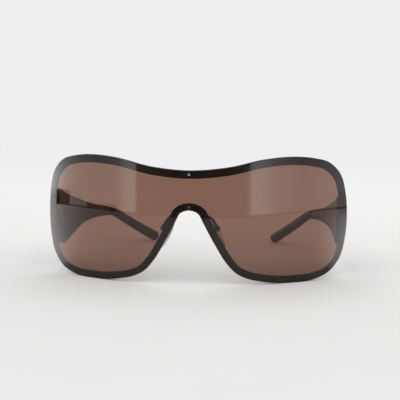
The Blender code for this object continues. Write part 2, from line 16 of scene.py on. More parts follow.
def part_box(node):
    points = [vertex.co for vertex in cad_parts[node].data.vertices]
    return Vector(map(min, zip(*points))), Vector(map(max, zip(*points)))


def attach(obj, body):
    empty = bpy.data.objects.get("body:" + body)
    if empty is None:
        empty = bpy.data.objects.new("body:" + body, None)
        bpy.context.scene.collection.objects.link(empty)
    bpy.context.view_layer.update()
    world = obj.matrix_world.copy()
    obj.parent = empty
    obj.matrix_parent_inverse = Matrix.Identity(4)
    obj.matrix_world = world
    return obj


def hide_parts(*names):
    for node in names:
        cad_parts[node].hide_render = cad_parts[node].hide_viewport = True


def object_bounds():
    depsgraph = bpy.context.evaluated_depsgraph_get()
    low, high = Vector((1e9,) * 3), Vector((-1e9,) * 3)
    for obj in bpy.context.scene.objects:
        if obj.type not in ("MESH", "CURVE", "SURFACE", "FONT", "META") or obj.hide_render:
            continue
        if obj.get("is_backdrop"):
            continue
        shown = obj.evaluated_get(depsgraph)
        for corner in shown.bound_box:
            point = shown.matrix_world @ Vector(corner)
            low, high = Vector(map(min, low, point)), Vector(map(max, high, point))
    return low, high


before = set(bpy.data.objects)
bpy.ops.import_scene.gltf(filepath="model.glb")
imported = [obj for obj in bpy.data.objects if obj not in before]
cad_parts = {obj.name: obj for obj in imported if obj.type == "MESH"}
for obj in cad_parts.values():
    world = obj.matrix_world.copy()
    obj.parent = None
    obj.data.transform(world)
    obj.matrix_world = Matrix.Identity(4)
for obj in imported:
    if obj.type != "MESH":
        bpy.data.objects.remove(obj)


def in_mm(metres, digits=1):
    return [round(1000 * value, digits) for value in metres]


cad_box = [list(corner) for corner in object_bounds()]
print("solids in the frame:", len(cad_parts), "box in mm:",
      in_mm(b - a for a, b in zip(*cad_box)))

# %% [markdown]
# Materials come first. A colour is written as the hex code that a paint chart or a picture
# editor shows, and the shader wants linear light, so one function turns one into the other.
# One more function adds a node with its options, values and links. Sockets are given by name
# or in order (for a map range: value, from this range, to that range), and a socket that
# gets a node is linked to the first output which that node has in use.


def linear(code):
    """Linear colour of an sRGB hex code."""
    parts = [int(code[i:i + 2], 16) / 255 for i in (1, 3, 5)]
    return [c / 12.92 if c <= 0.04045 else ((c + 0.055) / 1.055) ** 2.4 for c in parts] + [1]


def feed(node, sockets):
    """Gives each socket a value, or a link from an output or from a node."""
    for name, value in sockets.items() if isinstance(sockets, dict) else enumerate(sockets):
        if isinstance(value, bpy.types.Node):
            value = next(output for output in value.outputs if output.enabled)
        if isinstance(value, bpy.types.NodeSocket):
            node.id_data.links.new(value, node.inputs[name])
        else:
            node.inputs[name].default_value = value


def grow(tree, kind, sockets=(), operation=None, **options):
    """Adds a node, with an operation or other options if it has any, and feeds its sockets."""
    made = tree.nodes.new("ShaderNode" + kind)
    if operation:
        made.operation = operation
    for name, value in options.items():
        setattr(made, name, value)
    feed(made, sockets)
    return made


def start_finish(name, view_colour):
    """New material for a slot, with its tree, its Principled shader and object coordinates."""
    made = bpy.data.materials.new(name)
    made.use_nodes = True
    made.diffuse_color = linear(view_colour)
    tree = made.node_tree
    return made, tree, tree.nodes["Principled BSDF"], grow(tree, "TexCoord").outputs["Object"]


def per_metre(size_mm):
    """Scale of a noise whose grains are about this size, as the coordinates are in metres."""
    return 1000 / size_mm


print("white of a hex code is", linear("#FFFFFF")[:3])

# %% [markdown]
# The finishes of the glasses are built alike: one noise mixes two close colours, one sets the
# roughness and one gives the relief. A noise has the size of its grains in millimetres, its
# detail and its distortion. The roughness says over which part of its noise it changes, and
# from what to what, and the relief has a strength and a depth in metres.

# %% One recipe for the finishes


def finish(name, view_colour, tint, dull, relief, values):
    """Material whose colour, roughness and relief each follow a noise."""
    made, tree, shader, place = start_finish(name, view_colour)
    noises = {noise: grow(tree, "TexNoise", {"Vector": place, "Scale": per_metre(noise[0]),
                                             "Detail": noise[1], "Distortion": noise[2]})
              for noise in {tint[0], dull[0], relief[0]}}
    colour = grow(tree, "Mix", {0: noises[tint[0]], 6: linear(tint[1]), 7: linear(tint[2])},
                  data_type="RGBA", name="Body colour")
    gloss = grow(tree, "MapRange", (noises[dull[0]], *dull[1:]))
    bump = grow(tree, "Bump", {"Height": noises[relief[0]], "Strength": relief[1],
                               "Distance": relief[2]})
    feed(shader, {"Base Color": colour, "Roughness": gloss, "Normal": bump, **values})
    return made


print("a grain of half a millimetre has the scale", per_metre(0.5))

# %% [markdown]
# The lens is cast in a brown dyed resin, often allyl carbonate or nylon, and dip coated with
# a hard clear lacquer. Resin of this kind bends light by 1.50. A dyed sheet takes its colour
# over its whole thickness, which the Principled shader gives as the base colour of a fully
# transmitting body. The eye sees a clean mirror with long, very slightly wavy lines, since
# the mould and the dip leave waves of some centimetres and far less than a micron of grain.
# Handling leaves faint dull patches, drawn with a broad noise in the roughness.

# %% Cast and hard-coated lens resin
lens_resin = finish("cast_brown_lens_resin", "#8E6E5D",
                    tint=((45, 2, 0), "#8B685A", "#866456"),
                    dull=((9, 4, 0), 0.35, 0.75, 0.012, 0.035),
                    relief=((28, 1, 0), 0.2, 0.00006),
                    values={"IOR": 1.5, "Transmission Weight": 1})
print("lens finish:", lens_resin.name)

# %% [markdown]
# The rim, the temples, the hinges and the pad fittings are nickel alloy, sprayed black and
# baked. A sprayed coat dries with orange peel, shallow dimples about half a millimetre
# across, and it thins on every edge, where it looks greyer and duller from handling. Paint is
# no metal to the eye, so metallic stays at zero, and a thin clear coat carries the gloss.
# Pointiness, which is high on outer edges, places the wear.

# %% Baked black lacquer
black_lacquer = finish("baked_black_lacquer", "#1C1918",
                       tint=((6, 3, 0), "#0F0D0C", "#151211"),
                       dull=((6, 3, 0), 0.3, 0.7, 0.3, 0.37),
                       relief=((0.6, 2, 0), 0.25, 0.00002),
                       values={"Specular IOR Level": 0.35, "Coat Weight": 0.15,
                               "Coat Roughness": 0.15})
tree = black_lacquer.node_tree
body = tree.nodes["Body colour"]
blotch = body.inputs[0].links[0].from_node
pointed = grow(tree, "NewGeometry").outputs["Pointiness"]
edge = grow(tree, "MapRange", (pointed, 0.53, 0.62))
broken = grow(tree, "Math", (edge, blotch), "MULTIPLY")
worn = grow(tree, "Mix", {0: broken, 6: body, 7: linear("#4A4440")}, data_type="RGBA")
feed(tree.nodes["Principled BSDF"], {"Base Color": worn})
print("frame finish:", black_lacquer.name)

# %% [markdown]
# The heads of the two side pins are polished level with black enamel, a glass-like fill of
# refraction 1.65 with almost no grain. They reflect as the lens beside them does, and so they
# hardly show.

# %% Polished black enamel
black_enamel = finish("polished_black_enamel", "#1C1918",
                      tint=((0.3, 2, 0), "#0F0D0C", "#161312"),
                      dull=((0.3, 2, 0), 0, 1, 0.02, 0.07),
                      relief=((0.3, 2, 0), 0.05, 0.00001), values={"IOR": 1.65})
print("side pin finish:", black_enamel.name)

# %% [markdown]
# The bright pins, the screws and the studs are stainless steel, turned on a small lathe and
# tumbled bright. It is a metal with no dye, so its base colour is its mirror colour. Turning
# marks are a few hundredths of a millimetre apart, too fine for a picture of this size, so
# they are drawn about three times as coarse.

# %% Turned stainless steel
turned_steel = finish("turned_stainless_steel", "#C9CACB",
                      tint=((0.7, 2, 0), "#D4D4D3", "#B4B2AF"),
                      dull=((0.12, 3, 0), 0, 1, 0.06, 0.18),
                      relief=((0.12, 3, 0), 0.08, 0.00001), values={"Metallic": 1})
print("fastener finish:", turned_steel.name)

# %% [markdown]
# The ear tips are cellulose acetate, cut from sheet, heat bent over the core wire and tumbled
# for days with wood chips and wax. That leaves a soft deep gloss with no sharp edge, and a
# bend of light of 1.48. Black acetate is never quite even: slow swirls of the pigment show
# when the light is low, and the bend keeps faint dull rubs.

# %% Tumbled black acetate
black_acetate = finish("tumbled_black_acetate", "#1A1716",
                       tint=((7, 3, 1.5), "#0E0B0A", "#1A1512"),
                       dull=((3, 5, 0), 0.35, 0.7, 0.13, 0.27),
                       relief=((7, 3, 1.5), 0.12, 0.00005),
                       values={"IOR": 1.48, "Specular IOR Level": 0.35})
print("ear tip finish:", black_acetate.name)

# %% [markdown]
# The nose pads are clear silicone, moulded round a small steel plate. Silicone bends light by
# only 1.41, its mould is finely blasted so that the pad grips the skin, and it yellows a
# little where it is thick. A rough transmitting body gives the milky edge that the eye knows.

# %% Moulded clear silicone
clear_silicone = finish("moulded_clear_silicone", "#E4E6E4",
                        tint=((4, 2, 0), "#FBFBF9", "#F4F3EE"),
                        dull=((0.25, 2, 0), 0, 1, 0.04, 0.14),
                        relief=((0.25, 2, 0), 0.15, 0.00002),
                        values={"IOR": 1.41, "Transmission Weight": 0.7})
print("nose pad finish:", clear_silicone.name)

# %% [markdown]
# Every piece is a skin over rings of points, so the next cell gives the curve tools: a smooth
# curve through measured points, a reader for it, even steps round it, and the directions that
# point into it. They follow the formulas of the CAD source, so that a piece lands exactly on
# its solid, and only the number of points is higher.

# %% A smooth curve through measured points


def evenly(start, end, steps):
    """Values at even steps from start to end, both of them included."""
    return [start + (end - start) * k / steps for k in range(steps + 1)]


def spline(points, steps, closed=False, masks=None):
    """Smooth curve through points; a mask of zero holds one part of a tangent at zero."""
    count, dims = len(points), range(len(points[0]))
    nexts = [(i + 1) % count for i in range(count)]
    spans = [dist(points[i], points[after]) for i, after in enumerate(nexts)]
    slopes = [[(points[after][k] - points[i][k]) / spans[i] for k in dims]
              for i, after in enumerate(nexts)]
    tangents = []
    for i in range(count):
        slope = slopes[min(i, count - 2)]
        if closed or 0 < i < count - 1:
            slope = [(slopes[i - 1][k] * spans[i] + slopes[i][k] * spans[i - 1])
                     / (spans[i - 1] + spans[i]) for k in dims]
        tangents.append([slope[k] * masks[i][k] for k in dims] if masks else slope)
    curve = []
    for i in range(count if closed else count - 1):
        after = nexts[i]
        for t in evenly(0, 1, steps)[:-1]:
            h00, h01 = 2 * t ** 3 - 3 * t ** 2 + 1, 3 * t ** 2 - 2 * t ** 3
            h10, h11 = t ** 3 - 2 * t ** 2 + t, t ** 3 - t ** 2
            curve.append(tuple(h00 * points[i][k] + h01 * points[after][k]
                               + spans[i] * (h10 * tangents[i][k] + h11 * tangents[after][k])
                               for k in dims))
    return curve if closed else curve + [tuple(points[-1])]


def read_curve(curve, place):
    """Second value of a curve where its first value, which only grows, reaches place."""
    for (a, va), (b, vb) in zip(curve, curve[1:]):
        if a <= place <= b and b > a:
            return va + (vb - va) * (place - a) / (b - a)
    return curve[0][1] if place < curve[0][0] else curve[-1][1]


def even_points(curve, count):
    """Points at even steps round a closed curve."""
    loop = list(curve) + [curve[0]]
    lengths = [0]
    for a, b in zip(loop, loop[1:]):
        lengths.append(lengths[-1] + dist(a, b))
    places, k = [], 0
    for target in evenly(0, lengths[-1], count)[:-1]:
        while lengths[k + 1] < target:
            k += 1
        share = (target - lengths[k]) / (lengths[k + 1] - lengths[k])
        places.append(tuple(a + (b - a) * share for a, b in zip(loop[k], loop[k + 1])))
    return places


def inward(points):
    """Unit directions that point into a closed outline which runs clockwise."""
    pairs = [(points[i - 1], points[(i + 1) % len(points)]) for i in range(len(points))]
    return [((b[1] - a[1]) / dist(a, b), (a[0] - b[0]) / dist(a, b)) for a, b in pairs]


print("half way up a straight curve:", read_curve(spline([(0, 0), (2, 4)], 8), 1))

# %% [markdown]
# A ring of points can be any section. Two serve nearly every piece: a circle and a rectangle
# with rounded corners. `loft` joins rings into a skin, and turned, plate and square shapes
# are short uses of it.

# %% Sections and skins
quarter, full = pi / 2, 2 * pi


def soft_rectangle(a0, a1, b0, b1, radius, steps=4):
    """Points round a rectangle with rounded corners."""
    ring = []
    for ca, cb, start in ((a1 - radius, b1 - radius, 0), (a0 + radius, b1 - radius, 1),
                          (a0 + radius, b0 + radius, 2), (a1 - radius, b0 + radius, 3)):
        for t in evenly(quarter * start, quarter * (start + 1), steps):
            ring.append((ca + radius * cos(t), cb + radius * sin(t)))
    return ring


def round_edge(radius, steps):
    """Places round an edge: how far in from the side, and how far along from the end."""
    return [(radius * (1 - sin(t)), radius * (1 - cos(t))) for t in evenly(0, quarter, steps)]


def loft(rings, capped=True, looped=False):
    """Vertices and faces of a skin over rings of equal length."""
    size = len(rings[0])
    vertices = [point for ring in rings for point in ring]
    faces = []
    for r in range(len(rings) if looped else len(rings) - 1):
        a, b = r * size, (r + 1) % len(rings) * size
        faces += [(a + i, a + (i + 1) % size, b + (i + 1) % size, b + i) for i in range(size)]
    if capped and not looped:
        faces += [tuple(range(size)), tuple(range(len(vertices) - size, len(vertices)))]
    return vertices, faces


def circle(centre, across, up, radius, sides):
    return [centre + across * (radius * cos(t)) + up * (radius * sin(t))
            for t in evenly(0, full, sides)[:-1]]


def turned(profile, base, axis, sides=48):
    """Round piece: each (radius, distance) of the profile is a ring square to the axis."""
    across = axis.orthogonal().normalized()
    return loft([circle(base + axis * d, across, axis.cross(across), r, sides) for r, d in profile])


def prism(outline, middle, height):
    """Upright prism over an outline of (x, y) places, with half of its height each way."""
    return loft([[Vector((x, y, z)) for x, y in outline]
                 for z in (middle - height / 2, middle + height / 2)])


def block(centre, axes, sizes):
    """Box with the given full sizes along three axes."""
    a, b, c = [axis * (size / 2) for axis, size in zip(axes, sizes)]
    return loft([[centre + e * c + p * a + q * b for p, q in ((-1, -1), (1, -1), (1, 1), (-1, 1))]
                 for e in (-1, 1)])


print("points round a soft rectangle:", len(soft_rectangle(0, 1, 0, 1, 0.2)))

# %% [markdown]
# `make` turns a shape into a piece. Worked metal is cut or joined with a second shape, and a
# small bevel breaks its edges, as a file does. The piece then rides on its body, stands for
# its solid and takes the slot of its finish. `make_pair` does it for both sides: shapes are
# given for the right, and the left is their mirror image.

# %% Pieces
lens_low, lens_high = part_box("shield_lens")
middle = -lens_low[1]
smooth_angle = radians(40)


def raw_piece(name, shape, look, side):
    """Object from vertices and faces, mirrored for side -1."""
    vertices, faces = shape
    mesh = bpy.data.meshes.new(name)
    mesh.from_pydata([(side * v.x, v.y - middle, v.z) for v in vertices], [], faces)
    work = bmesh.new()
    work.from_mesh(mesh)
    bmesh.ops.recalc_face_normals(work, faces=work.faces)
    work.to_mesh(mesh)
    work.free()
    mesh.materials.append(look)
    made = bpy.data.objects.new(name, mesh)
    bpy.context.collection.objects.link(made)
    return made


def make(name, shape, look, body, solid, side=1, change=None, tool=None, bevel=0, rounds=3):
    """Finished piece on its body, changed with a tool shape and bevelled where that is asked."""
    piece = raw_piece(name, shape, look, side)
    if change:
        cutter = raw_piece("tool", tool, black_lacquer, side)
        step = piece.modifiers.new(change, "BOOLEAN")
        step.operation, step.solver, step.object = change, "EXACT", cutter
        graph = bpy.context.evaluated_depsgraph_get()
        mesh = bpy.data.meshes.new_from_object(piece.evaluated_get(graph))
        piece.modifiers.clear()
        piece.data = mesh
        bpy.data.objects.remove(cutter, do_unlink=True)
    if bevel:
        step = piece.modifiers.new("edges", "BEVEL")
        step.width, step.segments, step.limit_method = bevel, rounds, "ANGLE"
        step.angle_limit, step.harden_normals = smooth_angle, True
    piece.data.shade_smooth()
    piece.data.set_sharp_from_angle(angle=smooth_angle)
    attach(piece, body)
    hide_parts(solid)
    print(piece.name, "rides on", body, "with", len(piece.data.vertices), "points")
    return piece


def make_pair(name, shape, look, body, solid, **work):
    """The same piece at the left and at the right."""
    for side, word in ((-1, "left"), (1, "right")):
        make(name + "_" + word, shape, look, body if body == "front" else word + "_" + body,
             solid + "_" + word, side, **work)


print("the front of the lens stands at y =", round(-middle, 4))

# %% [markdown]
# The lens and the rim lie on an upright cylinder of 99 mm radius. A place on them is given by
# s, the way along the surface from the middle, z, the height, and the depth behind the
# surface. The outline is half of a measured curve, from the top middle round the side to the
# arch over the nose, and its mirror image.

# %% The curved front and its outline
lens_radius = 0.099
lens_half_arc = 0.082
lens_height = lens_high[2] - lens_low[2]
lens_thickness = 0.0018
lens_outline_share = (
    (0, 0.9), (0.22, 0.925), (0.439, 0.9855), (0.585, 1), (0.732, 0.985), (0.857, 0.939),
    (0.943, 0.838), (0.987, 0.677), (1, 0.5), (0.99, 0.338), (0.947, 0.169), (0.861, 0.061),
    (0.768, 0.017), (0.66, 0), (0.565, 0), (0.475, 0.0095), (0.4, 0.0265), (0.33, 0.0505),
    (0.27, 0.0915), (0.206, 0.186), (0.1485, 0.316), (0.0972, 0.445), (0.0725, 0.513),
    (0.053, 0.5597), (0, 0.587),
)
outline_steps = 36


def wrap(s, z, depth):
    """Place on the front: s along the lens surface, z up, depth behind the surface."""
    angle = s / lens_radius
    reach = lens_radius - depth
    return Vector((reach * sin(angle), lens_radius - reach * cos(angle), z))


def wrap_normal(s):
    """Direction straight into the front at s."""
    return Vector((-sin(s / lens_radius), cos(s / lens_radius), 0))


half = [(s * lens_half_arc, z * lens_height) for s, z in lens_outline_share]
half_masks = [(0 if s == 1 else 1, 0 if s == 0 or z in (0, 1) else 1)
              for s, z in lens_outline_share]
outline = spline(half + [(-s, z) for s, z in half[-2:0:-1]], outline_steps, True,
                 half_masks + half_masks[-2:0:-1])
side_knot = lens_outline_share.index((1, 0.5)) * outline_steps
arch_knot = (len(half) - 1) * outline_steps
top_edge = outline[:side_knot + 1]
bottom_edge = outline[side_knot:arch_knot + 1][::-1]
print("outline points:", len(outline))

# %% [markdown]
# The lens is milled from the cast sheet and its edge is polished round on a felt wheel, so a
# thin line of light runs along it. Its front is filled with upright strips between the top
# and the bottom edge. A strip that stands upright on a cylinder is flat, so the mirror stays
# true, and the strips crowd together where the outline turns down at the sides. The back of a
# rimmed shield is blackened along its edge, so that no bright line shows beside the metal:
# the faces from the middle of the edge to 1.2 mm in on the back get the black finish.

# %% Lens
lens_columns, column_crowding = 150, 1.3
edge_radius, edge_hold, edge_steps = 0.0004, 0.0002, 6
black_border = 0.0012


def lens_shape():
    shares = [k / lens_columns for k in range(-lens_columns, lens_columns + 1)]
    places = [copysign(sin(quarter * abs(k) ** column_crowding), k) * lens_half_arc for k in shares]
    loop = [(s, read_curve(top_edge, abs(s))) for s in places]
    loop += [(s, read_curve(bottom_edge, abs(s))) for s in places[-2:0:-1]]
    profile = [(edge_radius + edge_hold, 0)] + round_edge(edge_radius, edge_steps)
    profile += [(inset, lens_thickness - depth) for inset, depth in profile[::-1]]
    profile += [(black_border, lens_thickness)]
    pairs = list(zip(loop, inward(loop)))
    vertices, faces = loft([[wrap(s + n[0] * inset, z + n[1] * inset, depth)
                             for (s, z), n in pairs] for inset, depth in profile], capped=False)
    size = len(loop)
    for start in (0, len(vertices) - size):
        for k in range(2 * lens_columns):
            strip = dict.fromkeys((k, k + 1, (size - k - 1) % size, (size - k) % size))
            faces.append(tuple(start + c for c in strip))
    return vertices, faces


lens = make("lens_shell", lens_shape(), lens_resin, "front", "shield_lens")
lens.data.materials.append(black_lacquer)
loop_size = 4 * lens_columns
front_rings = edge_steps + 2
for face in lens.data.polygons:
    ring = min(face.vertices) // loop_size
    if len(face.vertices) == 4 and front_rings - 1 <= ring < 2 * front_rings:
        face.material_index = 1
print("blackened faces:", sum(face.material_index for face in lens.data.polygons))

# %% [markdown]
# The rim is one strip of sheet metal, stamped to the outline, bent round the same cylinder and
# lacquered. It lies a quarter of a millimetre behind the lens and is widest at the top. The
# lens covers it, so from the front its black band shows through the same gloss.

# %% Rim behind the lens
touch_gap = 0.00025
rim_inset = 0.0003
rim_thickness = 0.0010
rim_round = 0.00028
rim_points = 720
rim_width_top, rim_width_bridge, rim_width_nose = 0.0037, 0.0030, 0.0034
rim_width_bottom, rim_width_side, rim_width_corner = 0.0030, 0.0031, 0.0018
rim_bottom_share = 0.366
rim_front = lens_thickness + touch_gap
rim_back = rim_front + rim_thickness


def rim_width(s, normal):
    """Width of the rim where the outline faces the given way."""
    down, inner = max(-normal[1], 0), max(-normal[0] * copysign(1, s), 0)
    rise = max(normal[1], 0)
    share = min(abs(s) / (rim_bottom_share * lens_half_arc), 1)
    share = share * share * (3 - 2 * share)
    low_width = rim_width_bridge + (rim_width_bottom - rim_width_bridge) * share
    nose = 1 - down ** 2 - inner ** 2 - rise ** 2
    width = (rim_width_top * down ** 2 + rim_width_side * inner ** 2
             + low_width * rise ** 2 + rim_width_nose * nose)
    corner = 2 * rise * inner
    return width + (rim_width_corner - width) * corner


def band_ring(place, normal, inset, width, front, back, shrink=0):
    """Rounded section of a band that lies along the outline."""
    section = soft_rectangle(inset + shrink, inset + width - shrink, front + shrink,
                             back - shrink, rim_round - shrink / 2)
    return [wrap(place[0] + normal[0] * i, place[1] + normal[1] * i, d) for i, d in section]


rim_places = even_points(outline, rim_points)
rim_pairs = list(zip(rim_places, inward(rim_places)))
rim_rings = [band_ring(p, n, rim_inset, rim_width(p[0], n), rim_front, rim_back)
             for p, n in rim_pairs]
make("rim_band", loft(rim_rings, looped=True), black_lacquer, "front", "front_rim")

# %% [markdown]
# Four pins hold the lens on the rim: a bright one in the top band, one in the bridge, and a
# black one at each side. A pin is turned with a low dome and its tail is spread behind the
# metal. The dome is a true arc here, because a lamp draws a small round light on it. The
# heads of these pins are pressed almost flat, and the one in the bridge leans up a little,
# so its light is dimmer.

# %% Pins through the lens
pin_radius, pin_head_radius, pin_head_height, head_gap = 0.0004, 0.00054, 0.00025, 0.00005
pin_top_drop, pin_bridge_rise = 0.0019, 0.0017
side_pin_height, side_pin_inset, side_head_share = 0.0365, 0.0022, 0.21
dome_end = 0.96
end_thickness = 0.0014
end_front = rim_back + touch_gap
end_back = end_front + end_thickness
side_from = lens_half_arc * 0.9


def dome(radius, height, base, way, steps=6):
    """Profile of a low dome that starts at base and rises along way."""
    return [(radius * cos(t), base + way * height * sin(t))
            for t in evenly(0, quarter, steps)[:-1] + [quarter * dome_end]]


def pin_shape(s, z, back, height, lean=0):
    """Pin at a place on the front; lean turns its head upwards by a small slope."""
    tail = back + head_gap
    profile = dome(pin_head_radius, height - head_gap, -head_gap, -1)[::-1]
    profile += [(pin_radius, -head_gap), (pin_radius, tail)]
    profile += dome(pin_head_radius, pin_head_height, tail, 1)
    return turned(profile, wrap(s, z, 0), (wrap_normal(s) - Vector((0, 0, lean))).normalized())


top_height = lens_outline_share[0][1] * lens_height - pin_top_drop
bridge_height = lens_outline_share[-1][1] * lens_height + pin_bridge_rise
for label, height, proud, lean in (("top", top_height, 0.5, 0),
                                   ("bridge", bridge_height, 0.05, 0.04)):
    head_height = head_gap + (pin_head_height - head_gap) * proud
    make("steel_pin_" + label, pin_shape(0, height, rim_back, head_height, lean), turned_steel,
         "front", "lens_pin_" + label)
side_edge = sorted((z, s) for s, z in outline[:arch_knot] if s > side_from)
side_pin_place = read_curve(side_edge, side_pin_height) - side_pin_inset
make_pair("black_pin", pin_shape(side_pin_place, side_pin_height, end_back,
                                 pin_head_height * side_head_share),
          black_enamel, "front", "lens_pin_side")

# %% [markdown]
# Behind each side of the rim lies a short, thicker strip, the end piece. It carries the hinge,
# and it is bent from the same metal, so it gets the same rounded section. Its two ends are
# closed by a few rings that shrink, as a file would leave them.

# %% End pieces
end_inset, end_width = 0.0007, 0.0026
end_low, end_high, end_steps = 0.0150, 0.0395, 5


def end_shape():
    chosen = [(p, n) for p, n in rim_pairs if p[0] > side_from and end_low < p[1] < end_high]
    depth = [inset for inset, _ in round_edge(rim_round, end_steps)[:-1]]
    rings = []
    for k, (p, n) in enumerate(chosen):
        nearest = min(k, len(chosen) - 1 - k)
        shrink = depth[nearest] if nearest < end_steps else 0
        rings.append(band_ring(p, n, end_inset, end_width, end_front, end_back, shrink))
    return loft(rings)


make_pair("end_strip", end_shape(), black_lacquer, "front", "end_piece")

# %% [markdown]
# A temple is stamped from plate as a wide blade that tapers to a narrow arm. It stands just
# behind the end piece, toes in, and then curves round the head. `plan` gives its way over the
# table from the distance along it, and two measured curves give its top and bottom edge.

# %% The way of a temple
temple_outset, temple_setback = 0.0008, 0.0009
temple_thickness, temple_round = 0.0014, 0.0004
temple_toe_in = radians(8.1)
temple_straight, temple_head_radius = 0.0334, 0.105
temple_length, temple_low, temple_height = 0.068, 0.0108, 0.0302
temple_steps = 24
temple_top_share = (
    (0, 0.83), (0.02, 0.93), (0.055, 0.985), (0.1, 0.965), (0.18, 0.885), (0.31, 0.79),
    (0.475, 0.69), (0.6, 0.607), (0.73, 0.525), (0.86, 0.466), (1, 0.4),
)
temple_bottom_share = (
    (0, 0.32), (0.02, 0.21), (0.06, 0.105), (0.12, 0.03), (0.19, 0), (0.28, 0.045), (0.37, 0.1),
    (0.47, 0.16), (0.58, 0.215), (0.7, 0.245), (0.85, 0.258), (1, 0.24),
)
rim_corner = wrap(lens_half_arc - rim_inset, 0, rim_back)
temple_start = rim_corner + Vector((temple_outset, temple_setback, 0))


def plan(u):
    """Middle plane of the temple at u: place, direction back along it and direction outwards."""
    turn = temple_toe_in + max(u - temple_straight, 0) / temple_head_radius
    run = min(u, temple_straight)
    x = temple_start.x - run * sin(temple_toe_in)
    y = temple_start.y + run * cos(temple_toe_in)
    x -= temple_head_radius * (cos(temple_toe_in) - cos(turn))
    y += temple_head_radius * (sin(turn) - sin(temple_toe_in))
    return (Vector((x, y, 0)), Vector((-sin(turn), cos(turn), 0)),
            Vector((cos(turn), sin(turn), 0)))


temple_top, temple_bottom = [
    [(u * temple_length, temple_low + z * temple_height) for u, z in spline(share, temple_steps)]
    for share in (temple_top_share, temple_bottom_share)]
arm_end_height = (temple_top[-1][1] + temple_bottom[-1][1]) / 2
print("height of the arm's end:", round(arm_end_height, 4))

# %% [markdown]
# Past the blade, a core wire runs on inside the ear tip and drops with it to the table. Both
# follow one middle line: a bend of 28 mm radius and then a straight drop, down to the table.

# %% The drop behind the ear
core_height, core_thickness, core_length = 0.0022, 0.0011, 0.021
tip_height, tip_height_end, tip_thickness = 0.0046, 0.0055, 0.0034
tip_arm_slope, tip_drop_angle = radians(11), radians(28.8)
tip_bend_radius, tip_flat_depth = 0.028, 0.0003
tip_bend_length = tip_bend_radius * (tip_drop_angle - tip_arm_slope)


def ear_path(p):
    """Middle line of the core wire and the ear tip at p past the plate: u, z and slope."""
    slope = tip_arm_slope + min(p, tip_bend_length) / tip_bend_radius
    u = temple_length + tip_bend_radius * (sin(slope) - sin(tip_arm_slope))
    z = arm_end_height - tip_bend_radius * (cos(tip_arm_slope) - cos(slope))
    rest = max(p - tip_bend_length, 0)
    return u + rest * cos(slope), z - rest * sin(slope), slope


def ear_axes(p):
    """Place of the middle line with its upward and outward directions."""
    u, z, slope = ear_path(p)
    place, back, out = plan(u)
    lean = slope * min(p / tip_bend_length, 1)
    return place + Vector((0, 0, z)), back * sin(lean) + Vector((0, 0, cos(lean))), out


tip_rest = tip_height_end / 2 - tip_flat_depth
tip_reach = tip_bend_length + (ear_path(tip_bend_length)[1] - tip_rest) / sin(tip_drop_angle)
print("length of an ear tip in mm:", in_mm([tip_reach]))

# %% [markdown]
# The blade is a skin over upright rings, which stand closer together at its front, where the
# outline is round. Its edges are tumbled round, its front end is closed with rings that
# shrink over nearly the same radius, and its last rings are those of the core wire.

# %% Temple blades with their core wires
temple_rings, wire_rings, round_steps = 130, 24, 6
blade_nose = temple_round * 0.7
even_part = 0.45


def blade_ring(u, shrink):
    place, _, out = plan(u)
    section = soft_rectangle(shrink - temple_thickness / 2, temple_thickness / 2 - shrink,
                             read_curve(temple_bottom, u) + shrink,
                             read_curve(temple_top, u) - shrink, temple_round)
    return [place + out * a + Vector((0, 0, b)) for a, b in section]


def temple_shape():
    rings = [blade_ring(along, inset) for inset, along in round_edge(blade_nose, round_steps)[:-1]]
    for share in evenly(0, 1, temple_rings)[1:]:
        along = even_part * share + (1 - even_part) * share ** 2
        rings.append(blade_ring(blade_nose + (temple_length - blade_nose) * along, 0))
    wire = soft_rectangle(-core_thickness / 2, core_thickness / 2, -core_height / 2,
                          core_height / 2, temple_round)
    for place, up, out in map(ear_axes, evenly(0, core_length, wire_rings)):
        rings.append([place + out * a + up * b for a, b in wire])
    return loft(rings)


make_pair("temple_blade", temple_shape(), black_lacquer, "temple", "temple")

# %% [markdown]
# The ear tip is a sleeve with an oval section, a little taller towards its end, and a rounded
# nose. It starts with a soft lip round the wire. Where it rests on the table it is flattened
# by a third of a millimetre, as a tip that has stood on tables is.

# %% Ear tips
tip_sides, tip_steps, tip_lip = 56, 60, 0.0005
oval_fullness = 0.8


def fuller(value, power):
    """Sine or cosine bent outwards, so that an oval with it has flatter sides."""
    return copysign(abs(value) ** power, value)


def tip_ring(p, height, thickness):
    """Oval section of the ear tip at p past the plate, flat where it meets the table."""
    place, up, out = ear_axes(p)
    ring = [place + out * (thickness / 2 * fuller(cos(t), oval_fullness))
            + up * (height / 2 * fuller(sin(t), oval_fullness))
            for t in evenly(0, full, tip_sides)[:-1]]
    return [Vector((v.x, v.y, max(v.z, 0))) for v in ring]


def ear_tip_shape():
    rings = [tip_ring(touch_gap + along, tip_height - 2 * inset, tip_thickness - 2 * inset)
             for inset, along in round_edge(tip_lip, round_steps)[:-1]]
    start = touch_gap + tip_lip
    for share in evenly(0, 1, tip_steps)[1:]:
        rings.append(tip_ring(start + (tip_reach - start) * share,
                              tip_height + (tip_height_end - tip_height) * share, tip_thickness))
    for t in [radians(angle) for angle in range(8, 90, 8)]:
        rings.append(tip_ring(tip_reach + tip_height_end / 2 * sin(t),
                              tip_height_end * cos(t), tip_thickness * cos(t)))
    return loft(rings)


make_pair("ear_sleeve", ear_tip_shape(), black_acetate, "temple", "ear_tip")

# %% [markdown]
# Each hinge is a milled barrel hinge with three knuckles: two on the front and one on the
# temple between them. The barrels stand on the inner face of the blade, so the next cell
# finds the axis from the plan of the temple, and gives places beside it.

